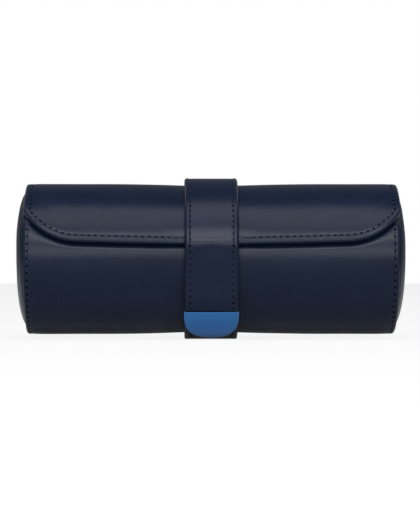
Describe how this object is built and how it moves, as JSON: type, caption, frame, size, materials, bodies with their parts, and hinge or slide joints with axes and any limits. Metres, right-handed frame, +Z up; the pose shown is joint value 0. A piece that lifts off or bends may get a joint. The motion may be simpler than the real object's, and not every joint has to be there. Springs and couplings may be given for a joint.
{
  "type": "watch travel case",
  "caption": "Padded cylindrical travel case for watches, with a hinged wrap-over flap, a closing strap that ends in a half-round metal tab, and lift-out cushions.",
  "frame": {"origin": "centre of the flat underside of the band, on which the closed case stands", "axes": "+X along the case to the viewer's right, -Y out of the front where the tab is, +Z up"},
  "size_m": [0.209, 0.0897, 0.0865],
  "materials": {
    "navy_leather": "smooth full-grain leather, satin",
    "navy_backing": "smooth leather, matt",
    "grey_suede": "fine microsuede",
    "foam": "open-cell foam",
    "board": "pressed fibreboard",
    "blue_metal": "blue anodised, satin",
    "steel": "plated steel"
  },
  "bodies": {
    "case": {"case_leather": "navy_leather", "case_padding": "foam", "case_board": "board", "case_lining": "grey_suede", "end_board_left": "board", "end_board_right": "board", "end_padding_left": "foam", "end_padding_right": "foam", "end_leather_left": "navy_leather", "end_leather_right": "navy_leather", "end_lining_left": "grey_suede", "end_lining_right": "grey_suede", "divider_core_left": "board", "divider_core_right": "board", "divider_cover_left": "grey_suede", "divider_cover_right": "grey_suede", "band_outer": "navy_leather", "band_filler": "board", "band_backing": "navy_backing", "band_magnet": "steel", "strap_hinge_span": "navy_backing"},
    "flap": {"flap_leather": "navy_leather", "flap_board": "board", "flap_lining": "grey_suede", "strap_outer": "navy_leather", "strap_filler": "board", "strap_backing": "navy_backing"},
    "tail": {"tail_outer": "navy_leather", "tail_filler": "board", "tail_backing": "navy_backing", "tab_plate": "blue_metal", "tab_rivets": "steel", "tail_magnet": "steel"},
    "cushion_left": {"cushion_cover_left": "grey_suede", "cushion_core_left": "foam"},
    "cushion_centre": {"cushion_cover_centre": "grey_suede", "cushion_core_centre": "foam"},
    "cushion_right": {"cushion_cover_right": "grey_suede", "cushion_core_right": "foam"}
  },
  "joints": [
    {"name": "flap_hinge", "type": "hinge", "parent": "case", "child": "flap", "pos_m": [0, 0.02481, 0.07452], "axis": [-1, 0, 0], "range_deg": [0, 125], "deforming": ["strap_hinge_span"]},
    {"name": "tail_bend", "type": "hinge", "parent": "flap", "child": "tail", "pos_m": [0, -0.04638, 0.04957], "axis": [-1, 0, 0], "range_deg": [0, 100]},
    {"name": "cushion_left_lift", "type": "slide", "parent": "case", "child": "cushion_left", "axis": [0, -0.1822, 0.9833], "range_m": [0, 0.012]},
    {"name": "cushion_centre_lift", "type": "slide", "parent": "case", "child": "cushion_centre", "axis": [0, -0.1822, 0.9833], "range_m": [0, 0.012]},
    {"name": "cushion_right_lift", "type": "slide", "parent": "case", "child": "cushion_right", "axis": [0, -0.1822, 0.9833], "range_m": [0, 0.012]}
  ]
}
